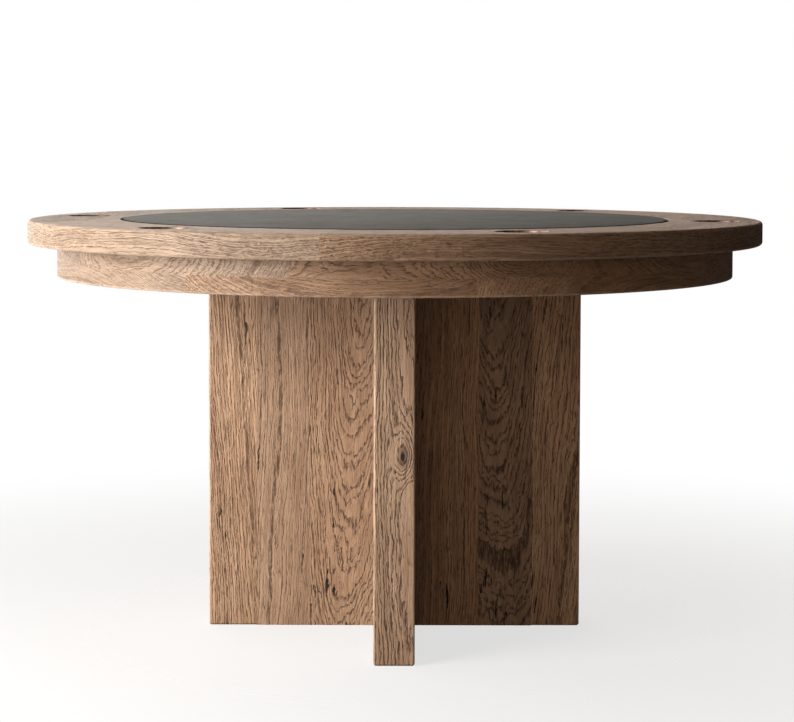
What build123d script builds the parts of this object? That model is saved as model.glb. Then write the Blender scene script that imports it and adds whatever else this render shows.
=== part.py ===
from build123d import *
from math import cos, radians, sin
import os

# Round gaming table: an oak ring top with a drop-in leather playing panel and
# six copper cup inserts, on a cross-shaped pedestal of four board wings.
# Millimetres, +Z up, origin on the floor at the pedestal's centre.

os.makedirs("parts", exist_ok=True)

# ---------------------------------------------------------------- dimensions
# Overall sizes
table_diameter = 1371.6
table_height = 770.0  # floor to the top of the wooden rim

# Rim: the ring of mitred oak segments
rim_thickness = 43.0
rim_width = 170.8
rim_arris_radius = 6.0
opening_arris_radius = 1.5
rim_segment_count = 6
first_rim_joint = 20.0  # degrees from +X
rebate_width = 20.0  # ledge under the rim that takes the sub-top

# Loose tongues across the rim's mitres
tongue_length = 70.0
tongue_width = 40.0
tongue_thickness = 10.0

# Sub-top and its screws
sub_top_thickness = 20.0
sub_top_clearance = 0.5
sub_top_screws_per_segment = 2
rim_screw_cover = 7.0  # oak left above the screws' tips
screw_head_radius = 4.5
screw_head_height = 2.5
screw_shank_radius = 2.25

# Playing panel
panel_gap = 3.0
leather_thickness = 2.0
leather_stand_proud = 1.0
leather_edge_radius = 4.0
leather_return = 30.0  # width of leather turned under the core

# Cup inserts
cup_inner_radius = 43.5
cup_wall = 1.0
cup_flange_width = 4.0
cup_flange_thickness = 1.0
cup_floor_thickness = 1.2
cup_floor_fillet = 4.0
cup_fit_clearance = 0.5
cup_floor_clearance = 0.8
cup_pocket_web = 5.0  # oak left under each blind pocket

# Apron: two brick-laid courses of curved blocks
apron_setback = 53.8  # from the rim's edge to the apron's face
apron_width = 40.0
apron_height = 61.5
apron_block_count = 8
first_lower_joint = 12.0  # degrees from +X
course_stagger = 17.5  # degrees between lower and upper joints
apron_arris_radius = 2.5

# Pedestal
wing_span = 700.0  # tip to tip across opposite wings
wing_thickness = 72.5
outer_board_width = 91.0
middle_board_width = 100.0
board_arris_radius = 4.0
foot_arris = 3.0

# Loose tenons between the boards
tenon_length = 40.0
tenon_thickness = 12.0
tenon_height = 60.0
tenon_end_clearance = 1.0
tenon_end_distance = 180.0  # from the boards' ends to the tenons' middles

# Mounting plate and its fasteners
plate_size = 400.0
plate_thickness = 6.0
plate_corner_radius = 12.0
plate_bolt_inset = 30.0
bolt_radius = 5.0
bolt_hole_clearance = 0.5
bolt_head_across_flats = 16.0
bolt_head_height = 6.5
insert_radius = 7.0
insert_length = 15.0
plate_screw_length = 50.0
plate_screw_head_radius = 6.0
plate_screw_head_height = 3.5
plate_screw_shank_radius = 2.75
plate_screw_inset = 26.0  # from the inner board's edges

# Levelling glides
glide_pad_radius = 20.0
glide_pad_height = 8.0
glide_pocket_clearance = 2.0
glide_pocket_depth = 12.0
glide_stem_radius = 4.0
glide_stem_length = 52.0
glide_running_clearance = 0.05
glide_socket_floor = 2.0
glide_end_clearance = 0.3
glide_sleeve_radius = 7.0
glide_sleeve_length = 30.0
glide_stem_headroom = 8.0
glide_hex_across_flats = 13.0
glide_bore_margin = 1.0

# ------------------------------------------------------------ derived levels
rim_top = table_height
rim_bottom = rim_top - rim_thickness
rim_radius = table_diameter / 2
opening_radius = rim_radius - rim_width
rebate_radius = opening_radius + rebate_width
ledge_level = rim_bottom + sub_top_thickness
sub_top_radius = rebate_radius - sub_top_clearance

leather_radius = opening_radius - panel_gap
leather_top = rim_top + leather_stand_proud
core_radius = leather_radius - leather_thickness
core_bottom = ledge_level + leather_thickness
core_top = leather_top - leather_thickness
core_arris_radius = leather_edge_radius - leather_thickness

cup_circle_radius = opening_radius + rim_width / 2
cup_body_radius = cup_inner_radius + cup_wall
cup_flange_radius = cup_body_radius + cup_flange_width
cup_pocket_radius = cup_body_radius + cup_fit_clearance
cup_recess_radius = cup_flange_radius + cup_fit_clearance
cup_pocket_depth = rim_thickness - cup_pocket_web
cup_bottom = rim_top - cup_pocket_depth + cup_floor_clearance
cup_floor = cup_bottom + cup_floor_thickness

segment_angle = 360 / rim_segment_count
first_cup_angle = first_rim_joint + segment_angle / 2
tongue_radius = cup_circle_radius
tongue_level = rim_bottom + rim_thickness / 2

sub_top_screw_count = rim_segment_count * sub_top_screws_per_segment
sub_top_screw_step = 360 / sub_top_screw_count
first_sub_top_screw = first_rim_joint + sub_top_screw_step / 2
sub_top_screw_radius = (opening_radius + sub_top_radius) / 2
rim_screw_bite = rim_thickness - sub_top_thickness - rim_screw_cover
sub_top_screw_length = sub_top_thickness + rim_screw_bite

apron_outer_radius = rim_radius - apron_setback
apron_middle_radius = apron_outer_radius - apron_width / 2
course_height = apron_height / 2
apron_bottom = rim_bottom - apron_height
block_angle = 360 / apron_block_count

plate_top = rim_bottom
pedestal_top = plate_top - plate_thickness
plate_bolt_spacing = plate_size - 2 * plate_bolt_inset

wing_reach = wing_span / 2
post_half = wing_thickness / 2
outer_joint = wing_reach - outer_board_width
middle_joint = outer_joint - middle_board_width
tenon_levels = (tenon_end_distance, pedestal_top - tenon_end_distance)
plate_screw_stations = (post_half + plate_screw_inset, middle_joint - plate_screw_inset)

glide_station = wing_reach - outer_board_width / 2
glide_pocket_radius = glide_pad_radius + glide_pocket_clearance
glide_bore_radius = glide_stem_radius + glide_running_clearance
glide_stem_bottom = glide_socket_floor + glide_end_clearance
glide_stem_top = glide_stem_bottom + glide_stem_length
glide_hex_bottom = glide_pad_height + glide_end_clearance
glide_hex_height = glide_pocket_depth - glide_hex_bottom - glide_end_clearance
glide_sleeve_top = glide_pocket_depth + glide_sleeve_length

wing_angles = (0, 90, 180, 270)
wing_names = ("right", "back", "left", "front")


# ------------------------------------------------------------------- helpers
def radial_plane(angle):
    """Upright plane through the table's axis: x outwards, y up."""
    turn = radians(angle)
    return Plane(
        origin=(0, 0, 0), x_dir=(cos(turn), sin(turn), 0), z_dir=(sin(turn), -cos(turn), 0)
    )


def wing_plane(angle, level=0.0):
    """Level plane whose x runs out along a wing."""
    turn = radians(angle)
    return Plane(origin=(0, 0, level), x_dir=(cos(turn), sin(turn), 0), z_dir=(0, 0, 1))


def outward_axis(angle):
    """Axis from the table's centre out along a direction in plan."""
    turn = radians(angle)
    return Axis((0, 0, 0), (cos(turn), sin(turn), 0))


def plan_point(radius, angle, level):
    """Point at a radius and an angle from +X."""
    turn = radians(angle)
    return (radius * cos(turn), radius * sin(turn), level)


def save(piece, name):
    """Label a finished piece and write it as its own STEP file."""
    piece.label = name
    export_step(piece, f"parts/{name}.step")


def countersunk_screw(head_radius, head_height, shank_radius, length):
    """Wood screw with its head's flat face at the origin and its shank along +Z."""
    tip_height = 2 * shank_radius
    with BuildPart() as screw:
        with BuildSketch(Plane.XZ):
            with BuildLine():
                Polyline(
                    (0, 0),
                    (head_radius, 0),
                    (shank_radius, head_height),
                    (shank_radius, length - tip_height),
                    (0, length),
                    close=True,
                )
            make_face()
        revolve(axis=Axis.Z)
    return screw.part


# ----------------------------------------------------------------------- rim
for index in range(rim_segment_count):
    joint_angle = first_rim_joint + index * segment_angle
    cup_angle = joint_angle + segment_angle / 2
    with BuildPart() as rim_segment:
        with BuildSketch(radial_plane(joint_angle)):
            with BuildLine():
                Polyline(
                    (opening_radius, ledge_level),
                    (rebate_radius, ledge_level),
                    (rebate_radius, rim_bottom),
                    (rim_radius, rim_bottom),
                    (rim_radius, rim_top),
                    (opening_radius, rim_top),
                    close=True,
                )
            make_face()
            fillet(vertices().group_by(Axis.X)[-1], radius=rim_arris_radius)
            opening_corner = vertices().group_by(Axis.Y)[-1].sort_by(Axis.X)[0]
            fillet(opening_corner, radius=opening_arris_radius)
        revolve(axis=Axis.Z, revolution_arc=segment_angle)

        # Blind pocket for the cup insert, with a shallow recess for its flange
        with BuildSketch(Plane.XY.offset(rim_top)):
            with Locations(plan_point(cup_circle_radius, cup_angle, 0)[:2]):
                Circle(cup_recess_radius)
        extrude(amount=-cup_flange_thickness, mode=Mode.SUBTRACT)
        with BuildSketch(Plane.XY.offset(rim_top)):
            with Locations(plan_point(cup_circle_radius, cup_angle, 0)[:2]):
                Circle(cup_pocket_radius)
        extrude(amount=-cup_pocket_depth, mode=Mode.SUBTRACT)

        # Half of the mortise for the loose tongue at each mitre
        for angle in (joint_angle, joint_angle + segment_angle):
            with Locations(Location(plan_point(tongue_radius, angle, tongue_level), (0, 0, angle))):
                Box(tongue_length, tongue_width, tongue_thickness, mode=Mode.SUBTRACT)

        # Pilot holes for the sub-top screws, up into the ledge
        with BuildSketch(Plane.XY.offset(ledge_level)):
            for screw in range(sub_top_screws_per_segment):
                angle = joint_angle + (screw + 0.5) * sub_top_screw_step
                with Locations(plan_point(sub_top_screw_radius, angle, 0)[:2]):
                    Circle(screw_shank_radius)
        extrude(amount=rim_screw_bite, mode=Mode.SUBTRACT)
    save(rim_segment.part, f"rim_segment_{index + 1}")

with BuildPart(Plane.XY.offset(tongue_level)) as rim_tongues:
    with PolarLocations(tongue_radius, rim_segment_count, start_angle=first_rim_joint):
        Box(tongue_length, tongue_width, tongue_thickness)
save(rim_tongues.part, "rim_tongues")

# ------------------------------------------------------------------- sub-top
with BuildPart() as sub_top:
    with BuildSketch(Plane.XY.offset(rim_bottom)):
        Circle(sub_top_radius)
    extrude(amount=sub_top_thickness)

    # Blind holes for the threaded inserts
    with BuildSketch(Plane.XY.offset(rim_bottom)):
        with GridLocations(plate_bolt_spacing, plate_bolt_spacing, 2, 2):
            Circle(insert_radius)
    extrude(amount=insert_length, mode=Mode.SUBTRACT)

    # Countersunk clearance holes for the screws into the rim
    with Locations(Plane(origin=(0, 0, rim_bottom), x_dir=(1, 0, 0), z_dir=(0, 0, -1))):
        with PolarLocations(
            sub_top_screw_radius, sub_top_screw_count, start_angle=-first_sub_top_screw
        ):
            CounterSinkHole(
                radius=screw_shank_radius, counter_sink_radius=screw_head_radius, depth=sub_top_thickness
            )
save(sub_top.part, "sub_top")

rim_screw = countersunk_screw(
    screw_head_radius, screw_head_height, screw_shank_radius, sub_top_screw_length
)
with BuildPart(Plane.XY.offset(rim_bottom)) as sub_top_screws:
    with PolarLocations(sub_top_screw_radius, sub_top_screw_count, start_angle=first_sub_top_screw):
        add(rim_screw)
save(sub_top_screws.part, "sub_top_screws")

# --------------------------------------------------------------------- apron
courses = (
    ("lower", apron_bottom, first_lower_joint),
    ("upper", apron_bottom + course_height, first_lower_joint + course_stagger),
)
for course, course_bottom, first_joint in courses:
    for index in range(apron_block_count):
        joint_angle = first_joint + index * block_angle
        with BuildPart() as apron_block:
            with BuildSketch(radial_plane(joint_angle)):
                with Locations((apron_middle_radius, course_bottom + course_height / 2)):
                    Rectangle(apron_width, course_height)
            revolve(axis=Axis.Z, revolution_arc=block_angle)
            if course == "lower":
                outer_edge = apron_block.faces().sort_by(Axis.Z)[0].edges().sort_by(SortBy.LENGTH)[-1]
                fillet(outer_edge, radius=apron_arris_radius)
        save(apron_block.part, f"apron_{course}_{index + 1}")

# ------------------------------------------------------------ mounting plate
with BuildPart() as mounting_plate:
    with BuildSketch(Plane.XY.offset(pedestal_top)):
        RectangleRounded(plate_size, plate_size, plate_corner_radius)
    extrude(amount=plate_thickness)
    with BuildSketch(Plane.XY.offset(pedestal_top)):
        with GridLocations(plate_bolt_spacing, plate_bolt_spacing, 2, 2):
            Circle(bolt_radius + bolt_hole_clearance)
    extrude(amount=plate_thickness, mode=Mode.SUBTRACT)
    for station in plate_screw_stations:
        with Locations(Plane.XY.offset(plate_top)):
            with PolarLocations(station, len(wing_angles)):
                CounterSinkHole(
                    radius=plate_screw_shank_radius,
                    counter_sink_radius=plate_screw_head_radius,
                    depth=plate_thickness,
                )
save(mounting_plate.part, "mounting_plate")

with BuildPart() as plate_bolts:
    with BuildSketch(Plane.XY.offset(pedestal_top - bolt_head_height)):
        with GridLocations(plate_bolt_spacing, plate_bolt_spacing, 2, 2):
            RegularPolygon(bolt_head_across_flats / 2, 6, major_radius=False)
    extrude(amount=bolt_head_height)
    with BuildSketch(Plane.XY.offset(pedestal_top)):
        with GridLocations(plate_bolt_spacing, plate_bolt_spacing, 2, 2):
            Circle(bolt_radius)
    extrude(amount=plate_thickness + insert_length)
save(plate_bolts.part, "plate_bolts")

with BuildPart() as threaded_inserts:
    with BuildSketch(Plane.XY.offset(rim_bottom)):
        with GridLocations(plate_bolt_spacing, plate_bolt_spacing, 2, 2):
            Circle(insert_radius)
            Circle(bolt_radius, mode=Mode.SUBTRACT)
    extrude(amount=insert_length)
save(threaded_inserts.part, "threaded_inserts")

lag_screw = countersunk_screw(
    plate_screw_head_radius, plate_screw_head_height, plate_screw_shank_radius, plate_screw_length
)
with BuildPart(Plane(origin=(0, 0, plate_top), x_dir=(1, 0, 0), z_dir=(0, 0, -1))) as plate_screws:
    for station in plate_screw_stations:
        with PolarLocations(station, len(wing_angles)):
            add(lag_screw)
save(plate_screws.part, "plate_screws")

# --------------------------------------------------------------------- wings
wing_boards = (
    ("inner", post_half, middle_joint),
    ("middle", middle_joint, outer_joint),
    ("outer", outer_joint, wing_reach),
)
for wing, wing_angle in zip(wing_names, wing_angles):
    for board, near_edge, far_edge in wing_boards:
        with BuildPart() as wing_board:
            with BuildSketch(wing_plane(wing_angle)):
                with Locations(((near_edge + far_edge) / 2, 0)):
                    Rectangle(far_edge - near_edge, wing_thickness)
            extrude(amount=pedestal_top)
            if board == "outer":
                upright_edges = wing_board.edges().filter_by(Axis.Z)
                fillet(upright_edges.sort_by(outward_axis(wing_angle))[-2:], radius=board_arris_radius)
                floor_edges = wing_board.faces().sort_by(Axis.Z)[0].edges()
                tip_edges = floor_edges.sort_by(outward_axis(wing_angle))[-3:]
                chamfer(tip_edges, length=foot_arris)

            # Mortises for the loose tenons in each glued edge
            glued_edges = (near_edge,) if board == "outer" else (near_edge, far_edge)
            for glued_edge in glued_edges:
                for level in tenon_levels:
                    centre = plan_point(glued_edge, wing_angle, level)
                    with Locations(Location(centre, (0, 0, wing_angle))):
                        Box(tenon_length, tenon_thickness, tenon_height, mode=Mode.SUBTRACT)

            if board == "inner":
                with BuildSketch(wing_plane(wing_angle, pedestal_top)):
                    with Locations(*[(station, 0) for station in plate_screw_stations]):
                        Circle(plate_screw_shank_radius)
                extrude(amount=plate_thickness - plate_screw_length, mode=Mode.SUBTRACT)

            if board == "outer":
                # Recess, sleeve bore and stem headroom for the levelling glide
                glide_bores = (
                    (glide_pocket_radius, glide_pocket_depth),
                    (glide_sleeve_radius, glide_sleeve_top),
                    (glide_stem_radius + glide_bore_margin, glide_stem_top + glide_stem_headroom),
                )
                for bore_radius, bore_depth in glide_bores:
                    with BuildSketch(wing_plane(wing_angle)):
                        with Locations((glide_station, 0)):
                            Circle(bore_radius)
                    extrude(amount=bore_depth, mode=Mode.SUBTRACT)
        save(wing_board.part, f"{wing}_wing_{board}_board")

with BuildPart() as centre_post:
    with BuildSketch():
        Rectangle(wing_thickness, wing_thickness)
    extrude(amount=pedestal_top)
    for wing_angle in wing_angles:
        for level in tenon_levels:
            with Locations(Location(plan_point(post_half, wing_angle, level), (0, 0, wing_angle))):
                Box(tenon_length, tenon_thickness, tenon_height, mode=Mode.SUBTRACT)
save(centre_post.part, "centre_post")

with BuildPart() as wing_tenons:
    for joint in (post_half, middle_joint, outer_joint):
        for level in tenon_levels:
            with Locations(Plane.XY.offset(level)):
                with PolarLocations(joint, len(wing_angles)):
                    Box(tenon_length - 2 * tenon_end_clearance, tenon_thickness, tenon_height)
save(wing_tenons.part, "wing_tenons")

# ---------------------------------------------------------- levelling glides
with BuildPart() as glide_sleeves:
    with BuildSketch(Plane.XY.offset(glide_pocket_depth)):
        with PolarLocations(glide_station, len(wing_angles)):
            Circle(glide_sleeve_radius)
            Circle(glide_bore_radius, mode=Mode.SUBTRACT)
    extrude(amount=glide_sleeve_length)
save(glide_sleeves.part, "glide_sleeves")

for index, wing_angle in enumerate(wing_angles):
    station = (glide_station, 0)
    with BuildPart() as glide_pad:
        with BuildSketch(wing_plane(wing_angle)):
            with Locations(station):
                Circle(glide_pad_radius)
        extrude(amount=glide_pad_height)
        fillet(glide_pad.edges().group_by(Axis.Z)[-1], radius=glide_pad_height / 4)
        with BuildSketch(wing_plane(wing_angle, glide_socket_floor)):
            with Locations(station):
                Circle(glide_bore_radius)
        extrude(amount=glide_pad_height, mode=Mode.SUBTRACT)
    save(glide_pad.part, f"glide_pad_{index + 1}")

    with BuildPart() as glide_stem:
        with BuildSketch(wing_plane(wing_angle, glide_stem_bottom)):
            with Locations(station):
                Circle(glide_stem_radius)
        extrude(amount=glide_stem_length)
        chamfer(glide_stem.edges().group_by(Axis.Z)[-1], length=glide_stem_radius / 4)
        with BuildSketch(wing_plane(wing_angle, glide_hex_bottom)):
            with Locations(station):
                RegularPolygon(glide_hex_across_flats / 2, 6, major_radius=False)
        extrude(amount=glide_hex_height)
    save(glide_stem.part, f"glide_stem_{index + 1}")

# ------------------------------------------------------------- playing panel
with BuildPart() as panel_core:
    with BuildSketch(Plane.XY.offset(core_bottom)):
        Circle(core_radius)
    extrude(amount=core_top - core_bottom)
    fillet(panel_core.edges().group_by(Axis.Z)[-1], radius=core_arris_radius)
save(panel_core.part, "panel_core")

with BuildPart() as leather_cover:
    with BuildSketch(Plane.XY.offset(ledge_level)):
        Circle(leather_radius)
    extrude(amount=leather_top - ledge_level)
    fillet(leather_cover.edges().group_by(Axis.Z)[-1], radius=leather_edge_radius)
    add(panel_core.part, mode=Mode.SUBTRACT)
    with BuildSketch(Plane.XY.offset(ledge_level)):
        Circle(leather_radius - leather_return)
    extrude(amount=leather_thickness, mode=Mode.SUBTRACT)
save(leather_cover.part, "leather_cover")

# --------------------------------------------------------------- cup inserts
for index in range(rim_segment_count):
    cup_angle = first_cup_angle + index * segment_angle
    cup_centre = plan_point(cup_circle_radius, cup_angle, 0)
    with BuildPart() as cup:
        with BuildSketch(Plane(origin=cup_centre, x_dir=(1, 0, 0), z_dir=(0, -1, 0))):
            with BuildLine():
                Polyline(
                    (0, cup_bottom),
                    (cup_body_radius, cup_bottom),
                    (cup_body_radius, rim_top - cup_flange_thickness),
                    (cup_flange_radius, rim_top - cup_flange_thickness),
                    (cup_flange_radius, rim_top),
                    (cup_inner_radius, rim_top),
                    (cup_inner_radius, cup_floor),
                    (0, cup_floor),
                    close=True,
                )
            make_face()
            outside_corner = vertices().group_by(Axis.Y)[0].sort_by(Axis.X)[-1]
            fillet(outside_corner, radius=cup_floor_fillet + cup_wall)
            inside_corner = vertices().sort_by_distance((cup_inner_radius, cup_floor))[0]
            fillet(inside_corner, radius=cup_floor_fillet)
        revolve(axis=Axis(cup_centre, (0, 0, 1)))
    save(cup.part, f"cup_{index + 1}")
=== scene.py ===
"""Finishes, leather, cup inserts and studio for a round oak gaming table."""

import math

import bmesh
import bpy
from mathutils import Matrix, Vector


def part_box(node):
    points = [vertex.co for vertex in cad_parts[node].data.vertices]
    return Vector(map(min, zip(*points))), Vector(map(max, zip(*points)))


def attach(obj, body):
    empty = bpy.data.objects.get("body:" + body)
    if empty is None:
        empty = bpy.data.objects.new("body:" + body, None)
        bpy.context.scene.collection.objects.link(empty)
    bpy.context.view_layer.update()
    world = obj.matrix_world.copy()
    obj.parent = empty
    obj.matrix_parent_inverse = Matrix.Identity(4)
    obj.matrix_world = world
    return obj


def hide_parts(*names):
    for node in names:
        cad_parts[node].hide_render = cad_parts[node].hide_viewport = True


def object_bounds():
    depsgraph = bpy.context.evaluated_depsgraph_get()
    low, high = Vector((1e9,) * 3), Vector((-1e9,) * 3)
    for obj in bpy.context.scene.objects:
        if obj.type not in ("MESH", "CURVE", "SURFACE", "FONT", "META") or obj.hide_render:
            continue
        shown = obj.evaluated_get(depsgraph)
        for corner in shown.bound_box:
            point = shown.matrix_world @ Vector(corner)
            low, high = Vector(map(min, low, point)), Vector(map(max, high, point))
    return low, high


bl_info = {
    "name": "Round gaming table",
    "version": (1, 0, 0),
    "blender": (4, 5, 0),
    "location": "3D View > Sidebar > Gaming table",
    "description": "Oak, leather and copper finishes and a studio for a round gaming table",
    "category": "Object",
}

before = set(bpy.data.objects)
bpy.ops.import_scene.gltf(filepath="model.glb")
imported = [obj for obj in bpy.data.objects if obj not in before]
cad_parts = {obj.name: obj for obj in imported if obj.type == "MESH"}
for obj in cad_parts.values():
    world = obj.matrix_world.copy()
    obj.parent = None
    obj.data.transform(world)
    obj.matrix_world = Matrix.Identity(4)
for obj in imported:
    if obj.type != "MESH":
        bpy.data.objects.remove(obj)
CAD_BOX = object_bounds()
RIM_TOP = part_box("rim_segment_1")[1].z
RIM_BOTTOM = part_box("rim_segment_1")[0].z
LEATHER_LOW, LEATHER_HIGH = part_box("leather_cover")
CORE_LOW, CORE_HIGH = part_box("panel_core")
CUP_LOW, CUP_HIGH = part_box("cup_1")
CUP_COUNT = 6
GLIDE_COUNT = 4
BLOCKS_A_COURSE = 8
WING_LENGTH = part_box("right_wing_outer_board")[1].x
WING_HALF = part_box("right_wing_outer_board")[1].y

# How far the oak's rings bend, fray and ripple, in metres, and the waves' share of the bends.
BEND_SIZE = 0.11
RAG_SIZE = 0.0036
RIPPLE_SIZE = 0.009
WAVE_SHARE = 0.125
# How many rings a knot pushes aside, and how much the rings' widths vary from year to year.
KNOT_RINGS = 5.0
YEAR_SPREAD = 2.4
# How much of an arris is paled, partly worn wood and partly a painted highlight, and how much paler
# that is.
WEAR_AND_HIGHLIGHT_SHARE = 0.7
RUBBED_AND_HIGHLIGHT_GAIN = 1.2
RUBBED_AND_HIGHLIGHT_LIFT = 0.06

KNOT_HEART = (0.022, 0.011, 0.006, 1)
SPLIT_SHADE = (0.018, 0.01, 0.006, 1)
PAINTED_GAP_SHADE = (0.004, 0.004, 0.004, 1)
PAINTED_CUP_SHADE = (0.085, 0.042, 0.028, 1)


# ---------------------------------------------------------------- node helpers


def put(tree, kind, sockets=None, **settings):
    """Adds one node, with its settings, and its sockets set or linked."""
    made = tree.nodes.new(kind)
    for key, value in settings.items():
        setattr(made, key, value)
    for key, value in (sockets or {}).items():
        if isinstance(value, bpy.types.NodeSocket):
            tree.links.new(value, made.inputs[key])
        else:
            made.inputs[key].default_value = value
    return made


def calc(tree, operation, *values, clamp=False):
    """A Math node's result."""
    sockets = dict(enumerate(values))
    return put(tree, "ShaderNodeMath", sockets, operation=operation, use_clamp=clamp).outputs[0]


def vector_calc(tree, operation, *values):
    """A Vector Math node's vector."""
    sockets = dict(enumerate(values))
    return put(tree, "ShaderNodeVectorMath", sockets, operation=operation).outputs[0]


def length_of(tree, vector):
    """A vector's length."""
    return put(tree, "ShaderNodeVectorMath", {0: vector}, operation="LENGTH").outputs["Value"]


def height_of(tree, place):
    """A place's height."""
    return put(tree, "ShaderNodeSeparateXYZ", {0: place}).outputs["Z"]


def off_axis(tree, place):
    """How far a place is from the table's axis."""
    return length_of(tree, vector_calc(tree, "MULTIPLY", place, (1.0, 1.0, 0.0)))


def ramp(tree, value, low, high, start=0.0, end=1.0):
    """A smooth step of a value, from start at low to end at high."""
    sockets = {"Value": value, "From Min": low, "From Max": high, "To Min": start, "To Max": end}
    made = put(tree, "ShaderNodeMapRange", sockets, interpolation_type="SMOOTHSTEP", clamp=True)
    return made.outputs[0]


def blend_colour(tree, amount, first, second, kind="MIX"):
    """Two colours mixed by an amount."""
    made = tree.nodes.new("ShaderNodeMix")
    made.data_type = "RGBA"
    made.blend_type = kind
    for key, value in ((0, amount), (6, first), (7, second)):
        if isinstance(value, bpy.types.NodeSocket):
            tree.links.new(value, made.inputs[key])
        else:
            made.inputs[key].default_value = value
    return made.outputs[2]


def noise(tree, place, stretch, detail=2.0, rough=0.5, output="Fac"):
    """Noise in a place that is stretched by a number of cells to the metre along each axis."""
    cells = vector_calc(tree, "MULTIPLY", place, stretch)
    sockets = {"Vector": cells, "Scale": 1.0, "Detail": detail, "Roughness": rough}
    return put(tree, "ShaderNodeTexNoise", sockets).outputs[output]


def drift(tree, place, stretch, detail, rough):
    """A push along each axis, either way, from that noise."""
    push = noise(tree, place, stretch, detail, rough, "Color")
    return vector_calc(tree, "SUBTRACT", push, (0.5, 0.5, 0.5))


def pushed(tree, place, push, size):
    """A place moved by a push of that size."""
    return vector_calc(tree, "ADD", place, vector_calc(tree, "MULTIPLY", push, size))


def start_group(name, takes, gives):
    """A new shader group with its sockets, its input node and its output node."""
    tree = bpy.data.node_groups.new(name, "ShaderNodeTree")
    for label, kind, default in takes:
        socket = tree.interface.new_socket(name=label, in_out="INPUT", socket_type=kind)
        socket.default_value = default
    for label, kind in gives:
        tree.interface.new_socket(name=label, in_out="OUTPUT", socket_type=kind)
    return tree, tree.nodes.new("NodeGroupInput").outputs, tree.nodes.new("NodeGroupOutput")


def group_once(name, build):
    """The shared group of that name, built the first time that it is asked for."""
    return bpy.data.node_groups.get(name) or build(name)


def new_material(name):
    """An empty node material with its shader, and the tree that it stands in."""
    material = bpy.data.materials.new(name)
    material.use_nodes = True
    tree = material.node_tree
    tree.nodes.clear()
    shader = put(tree, "ShaderNodeBsdfPrincipled")
    put(tree, "ShaderNodeOutputMaterial", {"Surface": shader.outputs[0]})
    return material, tree, shader


def dress(tree, shader, colour, gloss, relief, strength, depth):
    """Gives a shader its colour and roughness, and a relief of that strength and depth."""
    tree.links.new(colour, shader.inputs["Base Color"])
    tree.links.new(gloss, shader.inputs["Roughness"])
    sockets = {"Height": relief, "Strength": strength, "Distance": depth}
    tree.links.new(put(tree, "ShaderNodeBump", sockets).outputs[0], shader.inputs["Normal"])


def own_place(tree):
    """The piece's own coordinates."""
    return put(tree, "ShaderNodeTexCoord").outputs["Object"]


def piece_place(tree, location=(0, 0, 0), turn=(0, 0, 0)):
    """The piece's own coordinates as seen from a frame with that place and turn."""
    sockets = {"Vector": own_place(tree), "Location": location, "Rotation": turn}
    return put(tree, "ShaderNodeMapping", sockets, vector_type="TEXTURE").outputs[0]


def finish_with(name, material):
    """Gives a CAD node that material on every one of its slots."""
    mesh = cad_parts[name].data
    if not mesh.materials:
        mesh.materials.append(material)
    for number in range(len(mesh.materials)):
        mesh.materials[number] = material


# ---------------------------------------------------------------- shared finishes


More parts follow.
